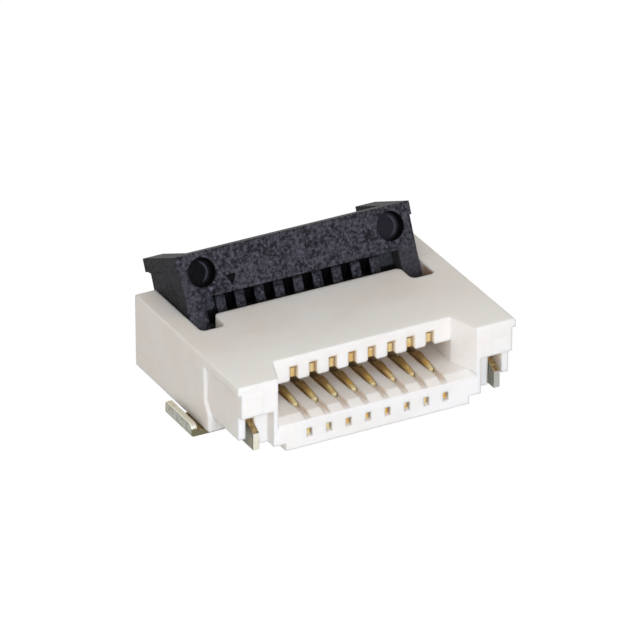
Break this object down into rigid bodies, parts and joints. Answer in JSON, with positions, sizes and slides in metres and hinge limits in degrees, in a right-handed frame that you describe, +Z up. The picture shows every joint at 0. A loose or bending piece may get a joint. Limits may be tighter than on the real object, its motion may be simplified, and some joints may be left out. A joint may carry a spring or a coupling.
{
  "type": "fpc connector",
  "caption": "Surface-mount connector for a flat flexible cable, with a front slot, a row of stamped contacts, two solder hold-downs and a flip locking lever at the back.",
  "frame": {"origin": "on the board, on the centre line, in the plane of the housing's front face: the datum of the land pattern", "axes": "+X across the row of contacts, +Y from the cable side to the solder tails, +Z up from the board"},
  "size_m": [0.0078, 0.0057, 0.0033],
  "materials": {
    "ivory_plastic": "moulded, fine matt",
    "black_plastic": "glass-filled, speckled matt",
    "plated_sheet": "thin plating over spring bronze, satin",
    "gold_contact": "gold plated, smooth"
  },
  "bodies": {
    "housing": {"housing": "ivory_plastic", "hold_down_left": "plated_sheet", "hold_down_right": "plated_sheet", "contact_1": "gold_contact", "contact_2": "gold_contact", "contact_3": "gold_contact", "contact_4": "gold_contact", "contact_5": "gold_contact", "contact_6": "gold_contact", "contact_7": "gold_contact", "contact_8": "gold_contact"},
    "lever": {"locking_lever": "black_plastic"}
  },
  "joints": [
    {"name": "lever_flip", "type": "hinge", "parent": "housing", "child": "lever", "pos_m": [0, 0.00402, 0.0012], "axis": [-1, 0, 0], "range_deg": [-15, 64.65]}
  ]
}
